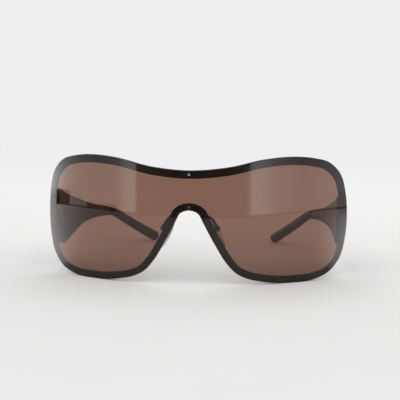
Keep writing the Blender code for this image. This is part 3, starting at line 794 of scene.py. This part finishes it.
# %% Where the hinge stands
knuckle_radius, knuckle_height, knuckle_play = 0.0015, 0.0028, 0.0001
hinge_block_height, hinge_axis_along, hinge_height = 0.0074, 0.0054, 0.0260
axis_place, axis_back, axis_out = plan(hinge_axis_along)
axis_inset = temple_thickness / 2 + touch_gap + knuckle_radius
hinge_axis = axis_place - axis_out * axis_inset + Vector((0, 0, hinge_height))
upwards = Vector((0, 0, 1))


def arc(start, end, steps):
    """Plan places on the knuckle, between two angles."""
    return [(hinge_axis.x + knuckle_radius * cos(a),
             hinge_axis.y + knuckle_radius * sin(a)) for a in evenly(start, end, steps)]


def along_hinge(along, inset):
    """Place beside the hinge axis: along the temple, and in from its inner face."""
    point = axis_place + axis_back * along - axis_out * (temple_thickness / 2 + touch_gap + inset)
    return Vector((point.x, point.y, hinge_height))


print("hinge axis in mm:", in_mm((hinge_axis.x, hinge_axis.y - middle), 2))

# %% [markdown]
# The front half is milled from one block. Its outline is cut as a prism, the slot for the
# other half is cut out of it, and then every edge is broken by a small bevel, the way a
# milled part is deburred.

# %% Front halves of the hinges
solder_inset, fork_share, slot_clearance, fork_bevel = 0.0004, 0.9, 0.0003, 0.00015
fork_steps = 32
near_s = lens_half_arc - end_inset - solder_inset
near = wrap(near_s, 0, end_back + touch_gap)
far = wrap(near_s - end_width * fork_share, 0, end_back + touch_gap)
way = hinge_axis - (near + far) / 2
heading = atan2(way.y, way.x)
fork_outline = [(far.x, far.y), (near.x, near.y)]
fork_outline += arc(heading - quarter, heading + quarter, fork_steps)
slot_half = knuckle_height / 2 + knuckle_play
slot_radius = knuckle_radius + slot_clearance
fork_slot = turned(((slot_radius, -slot_half), (slot_radius, slot_half)), hinge_axis, upwards)
make_pair("hinge_fork", prism(fork_outline, hinge_height, hinge_block_height), black_lacquer,
          "front", "hinge_front", change="DIFFERENCE", tool=fork_slot, bevel=fork_bevel)

# %% [markdown]
# The temple half is a flat leaf that lies on the blade, and the single knuckle at its front
# end fills the slot. Leaf and knuckle differ in height, so they are two prisms that are
# joined before their edges are broken.

# %% Temple halves of the hinges
leaf_thickness, leaf_length, leaf_start, leaf_height = 0.0008, 0.0092, 0.0023, 0.0062
leaf_bevel, leaf_steps = 0.00012, 40


def leaf_side(end):
    """The two plan corners of the leaf at its end."""
    return [along_hinge(end, inset).xy[:] for inset in (0, leaf_thickness)]


meet = asin((knuckle_radius - leaf_thickness) / knuckle_radius)
facing = atan2(axis_out.y, axis_out.x)
knuckle_outline = leaf_side(leaf_start + leaf_thickness)
knuckle_outline += arc(facing + quarter - meet, facing + full, leaf_steps)
make_pair("hinge_tongue", prism(leaf_side(leaf_length) + leaf_side(leaf_start)[::-1],
                                hinge_height, leaf_height),
          black_lacquer, "temple", "hinge_leaf", change="UNION",
          tool=prism(knuckle_outline, hinge_height, knuckle_height), bevel=leaf_bevel)

# %% [markdown]
# A small steel screw is the hinge pin. Its head has a straight slot, which the CAD solid
# leaves out. Two rivets with low domed heads hold each leaf on its blade, and they are
# lacquered with it. Heads and shanks are turned profiles.

# %% Hinge screws and leaf rivets
screw_radius, screw_head_radius, screw_head_height, screw_tail = 0.0006, 0.0012, 0.0005, 0.0003
leaf_rivet_radius, leaf_rivet_head, leaf_rivet_head_height = 0.0005, 0.0009, 0.00035
leaf_rivet_edge, leaf_rivet_pitch, rivet_back_share, tail_share = 0.0016, 0.0030, 0.4, 0.8


def make_screws(name, profile, base, axis, across, head, solid):
    """Steel screws with a straight slot, in proportion to the head, and one at each side."""
    length, width, depth, bevel = head * 2.2, head * 0.28, head * 0.3, head * 0.04
    cut = block(base + axis * profile[-1][1], (across, axis.cross(across), axis),
                (length, width, depth * 2))
    make_pair(name, turned(profile, base, axis), turned_steel, "front", solid,
              change="DIFFERENCE", tool=cut, bevel=bevel, rounds=2)


half_block = hinge_block_height / 2
head_seat = half_block + knuckle_play
screw_head = ((1, 0), (1, 0.6), (0.95, 0.8), (0.8, 1))
make_screws("steel_screw", [(screw_radius * tail_share, -half_block - screw_tail),
                            (screw_radius, -half_block), (screw_radius, head_seat)]
            + [(screw_head_radius * r, head_seat + screw_head_height * h) for r, h in screw_head],
            hinge_axis, upwards, axis_back, screw_head_radius, "hinge_screw")
rivet_face = leaf_thickness + head_gap
rivet_back = -(touch_gap + temple_thickness + head_gap)
rivet_profile = dome(leaf_rivet_head, leaf_rivet_head_height, rivet_face, 1)[::-1]
rivet_profile += [(leaf_rivet_radius, rivet_face), (leaf_rivet_radius, rivet_back)]
rivet_profile += dome(leaf_rivet_head, leaf_rivet_head_height * rivet_back_share, rivet_back, -1)
for label, pitches in (("front", 1), ("rear", 0)):
    rivet_base = along_hinge(leaf_length - leaf_rivet_edge - pitches * leaf_rivet_pitch, 0)
    make_pair("rivet_" + label, turned(rivet_profile, rivet_base, -axis_out), black_lacquer,
              "temple", "leaf_rivet_" + label)

# %% [markdown]
# A nose pad hangs on a folded metal box that a bent wire holds behind the rim. The pad's own
# directions are: up along the nose, back along it, and out from the nose into the box.

# %% Directions of a nose pad
box_place, box_height, box_setback = 0.0131, 0.0258, 0.0029
box_width, box_length, box_depth, box_wall = 0.0030, 0.0026, 0.0026, 0.0005
pad_tilt, pad_splay = radians(29), radians(30)
pad_rise = Vector((-sin(pad_tilt), 0, cos(pad_tilt)))
pad_back = Vector((sin(pad_splay), cos(pad_splay), 0))
pad_out = pad_back.cross(pad_rise).normalized()
pad_back = pad_rise.cross(pad_out).normalized()
box_centre = wrap(box_place, box_height, rim_back + box_setback)


def pad_place(back, rise, out):
    return box_centre + pad_back * back + pad_rise * rise + pad_out * out


print("pad box at mm:", in_mm(box_centre))

# %% [markdown]
# The arm is drawn wire, bent over a pin and soldered to the rim with a small foot. A round
# section that follows a smooth path gives it, and the foot flares out where the solder ran.
# Its loop lies a millimetre or so lower than the solid's, where the photograph shows it.

# %% Pad arms
arm_radius, arm_foot_radius, foot_rings = 0.0006, 0.0009, 4
arm_root_place, arm_root_height, arm_bow, arm_rise = 0.0073, 0.0308, 0.0022, 0.0019
arm_knots = ((0, 0.75, 0.2), (0.3, 0.75, 0.8), (0.68, 0.35, 0.75))
arm_steps, arm_sides = 16, 24


def arm_shape():
    root = wrap(arm_root_place, arm_root_height, rim_back + touch_gap)
    end = pad_place(0, box_length / 2 + touch_gap, arm_radius)
    behind = wrap_normal(arm_root_place)
    knots = [root + (end - root) * share + behind * (arm_bow * bow) + upwards * (arm_rise * rise)
             for share, bow, rise in arm_knots]
    path = [Vector(p) for p in spline([v[:] for v in (root, *knots, end)], arm_steps)]
    rings = []
    for k, place in enumerate(path):
        before, after = path[max(k - 1, 0)], path[min(k + 1, len(path) - 1)]
        heading = behind if k == 0 else (after - before).normalized()
        across = heading.cross(pad_rise.cross(behind)).normalized()
        radius = arm_radius + (arm_foot_radius - arm_radius) * exp(-k / foot_rings)
        rings.append(circle(place, across, across.cross(heading).normalized(), radius, arm_sides))
    return loft(rings)


make_pair("pad_wire", arm_shape(), black_lacquer, "front", "pad_arm")

# %% [markdown]
# The box is a channel folded from sheet, open towards the pad, with a larger radius outside
# the bend than inside it. A tiny screw runs through its two walls and the tab of the pad,
# and the pad rocks on that screw. Its head is cut off flat below the top of the dome.

# %% Pad boxes and their screws
pad_screw_radius, pad_screw_head, pad_screw_rings = 0.00035, 0.0007, 4
bend_outside, bend_inside, bend_steps, box_bevel = 0.0010, 0.0005, 8, 0.00018


def channel_side(reach, depth, bend):
    """Half of a bent channel's section, from its open end to the middle of its floor."""
    return [(reach, -box_depth / 2)] + [
        (reach - bend + bend * cos(t), depth - bend + bend * sin(t))
        for t in evenly(0, quarter, bend_steps)]


reach = box_width / 2
outside = channel_side(reach, box_depth / 2, bend_outside)
inside = channel_side(reach - box_wall, box_depth / 2 - box_wall, bend_inside)
channel = outside + [(-a, b) for a, b in outside[::-1]] + [(-a, b) for a, b in inside]
channel_shape = loft([[pad_place(a, rise, b) for a, b in channel + inside[::-1]]
                      for rise in (-box_length / 2, box_length / 2)])
make_pair("pad_channel", channel_shape, black_lacquer, "front", "pad_box", bevel=box_bevel)
seat = reach + head_gap
pad_screw_profile = [(pad_screw_radius, -reach - touch_gap), (pad_screw_radius, seat)]
pad_screw_profile += dome(pad_screw_head, pad_screw_radius, seat, 1)[:pad_screw_rings]
make_screws("pad_pin", pad_screw_profile, box_centre, pad_back, pad_rise, pad_screw_head,
            "pad_screw")

# %% [markdown]
# The stud is a round steel plate with a tab on it, moulded into the silicone, where it shows
# through. Plate and tab are joined into one piece. It starts just off the box.

# %% Studs in the pads
tab_thickness, tab_length, stud_bevel = 0.0012, 0.0018, 0.00008
stud_radius, stud_thickness, pad_clearance = 0.0016, 0.0007, 0.00035
face = -(box_depth / 2 + pad_clearance)
tab_end = box_depth / 2 - box_wall - touch_gap
tab_start = face - stud_thickness / 2
stud_round = stud_thickness * 0.3
stud_profile = ((stud_radius - stud_round, -stud_thickness),
                (stud_radius, stud_round - stud_thickness), (stud_radius, -stud_round),
                (stud_radius - stud_round, 0))
tab = block(pad_place(0, 0, (tab_start + tab_end) / 2), (pad_back, pad_rise, pad_out),
            (tab_thickness, tab_length, tab_end - tab_start))
make_pair("pad_plate", turned(stud_profile, pad_place(0, 0, face), pad_out), turned_steel,
          "pad", "pad_stud", change="UNION", tool=tab, bevel=stud_bevel)

# %% [markdown]
# The pad itself is a drop-shaped cushion, narrower at the top, flat towards the box and domed
# towards the nose. Its levels are read from a smooth curve, so the dome has no steps. Its
# outline is only a little fuller than an ellipse, so that it clears the rim when it rocks.

# %% Nose pads
pad_length, pad_width, pad_thickness = 0.0155, 0.0072, 0.0024
pad_narrowing_share, pad_drop, pad_fullness = 0.22, 0.0025, 0.93
pad_sides, pad_level_steps = 72, 5
pad_level_share = ((0.8, 0), (0.93, 0.03), (0.985, 0.1), (1, 0.2), (1, 0.36), (0.96, 0.56),
                   (0.86, 0.7), (0.66, 0.8), (0.35, 0.84), (0.05, 0.85))


def pad_ring(size, level):
    """Outline of the pad at a level of its thickness, at a share of its full size."""
    ring = []
    for t in evenly(0, full, pad_sides)[:-1]:
        width = pad_width * (1 - pad_narrowing_share * cos(t))
        ring.append(pad_place(size * width / 2 * fuller(sin(t), pad_fullness),
                              size * pad_length / 2 * fuller(cos(t), pad_fullness) - pad_drop,
                              face - level * pad_thickness))
    return ring


pad_shape = loft([pad_ring(*level) for level in spline(pad_level_share, pad_level_steps)])
make_pair("silicone_pad", pad_shape, clear_silicone, "pad", "nose_pad")

# %% [markdown]
# The stage is a white table under a large soft sky, as in a light tent. The camera sees one
# pale top without an end: it fades into the background far away and keeps the object's
# shadow. The far part is a plain light of the background's colour, for the camera alone and
# for what it sees through the lens.

# %% White table
floor_reach, floor_corners, fade_start, fade_end = 3.0, 96, 0.16, 0.6
floor_colour, speck_colour, far_colour = map(linear, ("#E4E3E1", "#E2E1DF", "#EFEFF1"))
floor_mesh = bpy.data.meshes.new("table")
floor_mesh.from_pydata([(floor_reach * cos(t), floor_reach * sin(t), 0)
                        for t in evenly(0, full, floor_corners)[:-1]],
                       [], [tuple(range(floor_corners))])
table = bpy.data.objects.new("table", floor_mesh)
bpy.context.collection.objects.link(table)
table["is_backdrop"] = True
white_table, tree, shader, place = start_finish("matt_white_table", "#E6E5E2")
floor_mesh.materials.append(white_table)
rays = grow(tree, "LightPath").outputs
speck = grow(tree, "TexNoise", {"Vector": place, "Scale": per_metre(30), "Detail": 2})
top_colour = grow(tree, "Mix", {0: speck, 6: floor_colour, 7: speck_colour}, data_type="RGBA")
away = grow(tree, "VectorMath", (place,), "LENGTH")
fade = grow(tree, "MapRange", (away, fade_start, fade_end), interpolation_type="SMOOTHSTEP")
seen = grow(tree, "Math", (rays["Is Camera Ray"], rays["Is Transmission Ray"]), "MAXIMUM")
far_share = grow(tree, "Math", (fade, seen), "MULTIPLY")
far_light = grow(tree, "Emission", {"Color": far_colour})
near_or_far = grow(tree, "MixShader", (far_share, shader, far_light))
print("table fades between", fade_start, "and", fade_end, "m")

# %% [markdown]
# The front of the lens mirrors more: a long thin line, which is the edge of the table, and
# past it a darker room. Only a mirrored ray meets this edge. It is glossy and nothing else,
# while a ray that came through the lens is a transmission ray as well, so a comparison parts
# the two. The edge is an oval with a dark ring, and past it the table lets the ray through to
# the room. At the left some dark floor shows past it, and beside the object the table opens
# again. Directions there are slopes from a point near each end of the lens, and each window
# of slopes has a middle and a half width.

# %% Edge of the table in the mirror
table_half_width, table_half_depth = 0.328, 0.288
end_across, end_behind, beside_from = 0.06, 0.03, 0.07
ring_share, dark_share, dim_share = 0.026, 0.3, 0.13
dark_slope, dim_slope, open_slope = (0.04, 0.125), (-0.74, 0.34), (-0.7, -0.2)

mirrored = grow(tree, "Math", (rays["Is Glossy Ray"], rays["Is Transmission Ray"]), "GREATER_THAN")
x, y, _ = grow(tree, "SeparateXYZ", (place,)).outputs
across = grow(tree, "Math", (x,), "ABSOLUTE")
past_end = grow(tree, "Math", (across, end_across), "SUBTRACT")
backwards = grow(tree, "Math", (y, end_behind), "ADD")
slope = grow(tree, "Math", (backwards, past_end), "DIVIDE")
stretch = (1 / table_half_width, 1 / table_half_depth, 0)
oval = grow(tree, "VectorMath", (place, stretch), "MULTIPLY")
radius = grow(tree, "VectorMath", (oval,), "LENGTH")
at_left = grow(tree, "Math", (x, 0), "LESS_THAN")
beyond = grow(tree, "Math", (slope, sum(dark_slope)), "GREATER_THAN")
past_dark = grow(tree, "Math", (at_left, beyond), "MULTIPLY")
ring = grow(tree, "MapRange", (past_dark, 0, 1, ring_share, 0))
for window, share in ((dark_slope, dark_share), (dim_slope, dim_share)):
    inside = grow(tree, "Math", (slope, *window), "COMPARE")
    inside = grow(tree, "Math", (at_left, inside), "MULTIPLY")
    width = grow(tree, "Math", (inside, share), "MULTIPLY")
    ring = grow(tree, "Math", (ring, width), "MAXIMUM")
print("half width and half depth of the mirrored table:", table_half_width, table_half_depth)

# %% [markdown]
# Where the ring ends the table becomes clear for a mirrored ray, and so it does in the
# opening beside the object, where the change is soft. Within the ring it takes the colour of
# the dark edge. Nearer the object it takes a darker grey than the camera sees, which is painted
# shade: it stands in for the object's shadow over the front of the table.

# %% Table as the lens mirrors it
outer_edge = grow(tree, "Math", (ring, 1), "ADD")
past_front = grow(tree, "Math", (radius, outer_edge), "GREATER_THAN")
outwards = grow(tree, "Math", (across, beside_from), "GREATER_THAN")
on_table = grow(tree, "Math", (radius, 1), "LESS_THAN")
beside = grow(tree, "Math", (outwards, on_table), "MULTIPLY")
opening = grow(tree, "MapRange", (slope, *open_slope), interpolation_type="SMOOTHSTEP")
past_side = grow(tree, "Math", (beside, opening), "MULTIPLY")
past = grow(tree, "Math", (past_front, past_side), "MAXIMUM")
open_share = grow(tree, "Math", (mirrored, past), "MULTIPLY")
off_table = grow(tree, "Math", (radius, 1), "GREATER_THAN")
# Painted shade: mirrored rays see the table near the object as a darker grey (#C8C8C8) in place of
# the object's shadow, and see the dark edge (#2E2B29) past it.
mirrored_edge_and_painted_shade = grow(tree, "Mix", {0: off_table, 6: linear("#C8C8C8"), 7: linear("#2E2B29")},
                     data_type="RGBA")
shown = grow(tree, "Mix", {0: mirrored, 6: top_colour, 7: mirrored_edge_and_painted_shade}, data_type="RGBA")
feed(shader, {"Base Color": shown, "Roughness": 0.7, "Specular IOR Level": 0})
whole = grow(tree, "MixShader", (open_share, near_or_far, grow(tree, "BsdfTransparent")))
feed(tree.nodes["Material Output"], {"Surface": whole})
print("nodes in the table's finish:", len(tree.nodes))

# %% [markdown]
# The sky gives nearly all the light. The camera sees it as one pale colour. As light it is
# strongest low down behind the object, weak overhead and even in front, which is the side
# that the shadow in the photograph points away from.

# %% Soft sky
behind_levels, behind_span, front_level, front_span = (1.7, 0.6), (0.1, 0.65), 1.25, (0.3, -0.3)
world = bpy.data.worlds.new("light_tent")
bpy.context.scene.world = world
world.use_nodes = True
tree = world.node_tree
x, y, z = grow(tree, "SeparateXYZ", (grow(tree, "TexCoord").outputs["Generated"],)).outputs
behind = grow(tree, "MapRange", (z, *behind_span, *behind_levels))
in_front = grow(tree, "MapRange", (y, *front_span))
sky = grow(tree, "Mix", {0: in_front, 2: behind, 3: front_level})
print("sky behind and in front:", behind_levels, front_level)

# %% [markdown]
# For gloss the sky is a room: dark in front, where the camera stands, with a bright upright
# at each side of the dark part and a pale wall at each end. A colour ramp over the compass
# direction draws it. Zero is straight ahead and the right is positive. The end walls change
# with height as well, and each in its own way, so a second ramp runs over the height times
# the side, which is below zero low down on the right. High up the room turns into the sky.

# %% Room for the gloss
room_stops = (
    (-180, 0.85), (-130, 0.95), (-112, 3.2), (-106, 2.8), (-98, 1.95), (-92, 1.35), (-80, 0.9),
    (-63, 0.7), (-51, 0.95), (-44, 2.1), (-39.5, 2.1), (-38, 0.3), (-30, 0.2), (-16, 0.1),
    (16, 0.12), (24, 0.22), (28.8, 0.35), (30.2, 2.2), (36, 2.05), (46, 1.2), (62, 0.7),
    (76, 0.9), (86, 1.15), (94, 1.35), (100, 1.85), (112, 1.85), (130, 0.95), (180, 0.85),
)
wall_stops = (
    (-0.2, 2.4), (-0.152, 2.35), (-0.134, 1.5), (-0.128, 0.72), (-0.114, 0.72), (-0.108, 1),
    (0, 1), (0.09, 1.42), (0.104, 1.36), (0.112, 0.86), (0.141, 0.9), (0.16, 1.14), (0.2, 1.14),
)
wall_span, sky_span = (-0.3, 0.12), (0.15, 0.6)
turn = grow(tree, "Math", (x, grow(tree, "Math", (y, -1), "MULTIPLY")), "ARCTAN2")
tilt = grow(tree, "Math", (x, z), "MULTIPLY")
levels = []
for value, stops in ((turn, [(radians(at), level) for at, level in room_stops]),
                     (tilt, wall_stops)):
    start, end, peak = stops[0][0], stops[-1][0], max(level for _, level in stops)
    ramp = grow(tree, "ValToRGB", (grow(tree, "MapRange", (value, start, end)),))
    elements = ramp.color_ramp.elements
    for at, level in stops:
        position = (at - start) / (end - start)
        stop = elements[0] if at == start else elements[-1] if at == end else elements.new(position)
        stop.position, stop.color = position, [level / peak] * 3 + [1]
    levels.append(grow(tree, "Math", (ramp, peak), "MULTIPLY"))
print("stops in the two ramps:", len(room_stops), len(wall_stops))

# %% [markdown]
# The two ramps are joined, and the result is shown to glossy rays only. The camera, and what
# it sees through the lens, meets the plain background colour instead.

# %% The sky as each ray sees it
end_wall = grow(tree, "Mix", {0: grow(tree, "MapRange", (y, *wall_span)), 2: 1, 3: levels[1]})
wall = grow(tree, "Math", (levels[0], end_wall), "MULTIPLY")
room = grow(tree, "Mix", {0: grow(tree, "MapRange", (z, *sky_span)), 2: wall, 3: sky})
rays = grow(tree, "LightPath").outputs
lit = grow(tree, "Mix", {0: rays["Is Glossy Ray"], 2: sky, 3: room})
seen = grow(tree, "Math", (rays["Is Camera Ray"], rays["Is Transmission Ray"]), "MAXIMUM")
sky_colour = grow(tree, "Mix", {0: seen, 6: lit, 7: far_colour}, data_type="RGBA")
feed(tree.nodes["Background"], {"Color": sky_colour})
print("nodes in the sky:", len(tree.nodes))

# %% [markdown]
# One large soft lamp hangs above and well behind the object. It deepens the broad pale
# shadow that the lobes throw towards the camera.

# %% Soft lamp
lamp_watts, lamp_place, lamp_aim = 3.2, Vector((0, 0.85, 0.95)), Vector((0, -0.05, 0))
lamp_data = bpy.data.lights.new("soft_top", "AREA")
lamp_data.shape = "RECTANGLE"
lamp_data.size, lamp_data.size_y = 1.2, 0.8
lamp_data.energy = lamp_watts
lamp = bpy.data.objects.new("soft_top", lamp_data)
lamp.location = lamp_place
lamp.rotation_euler = (lamp_aim - lamp_place).to_track_quat("-Z", "Y").to_euler()
bpy.context.collection.objects.link(lamp)
print("lamp stands at", [round(c, 2) for c in lamp.location])

# %% [markdown]
# The camera stands where the photograph was taken: fitting the outline of the lens, the ear
# tips and the pins to the picture gave a distance of 480 mm, 6 degrees to the side and 7
# degrees above the table, with a narrow field of view.

# %% Camera
focal_pixels, picture_pixels, sensor_mm = 1052.6, 400, 36
yaw, pitch, roll = [radians(angle) for angle in (6.0, -7.01, -0.24)]
distance = 0.480
target = Vector((0.00514, -middle, 0.03976))
turned_by = (Matrix.Rotation(yaw, 3, "Z") @ Matrix.Rotation(pitch, 3, "X")
             @ Matrix.Rotation(roll, 3, "Y"))
eye = target - turned_by @ Vector((0, distance, 0))
camera_data = bpy.data.cameras.new("camera")
camera_data.sensor_width = sensor_mm
camera_data.lens = sensor_mm * focal_pixels / picture_pixels
camera_data.clip_start = 0.01
camera = bpy.data.objects.new("camera", camera_data)
axes = Matrix((turned_by.col[0], turned_by.col[2], -turned_by.col[1])).transposed()
camera.matrix_world = Matrix.Translation(eye) @ axes.to_4x4()
bpy.context.collection.objects.link(camera)
bpy.context.scene.camera = camera
bpy.context.scene.view_settings.view_transform = "Standard"
print("camera stands at", [round(c, 4) for c in eye])

# %% [markdown]
# The box of the finished pieces is printed, beside the box of the solids printed at the start.
# The box of the finished pieces has to stay close to the box of the solids.

# %% Box of the finished pieces, and the end
bpy.context.view_layer.update()
visual_box = [list(corner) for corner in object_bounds()]
print("visual box in mm:", in_mm(b - a for a, b in zip(*visual_box)))
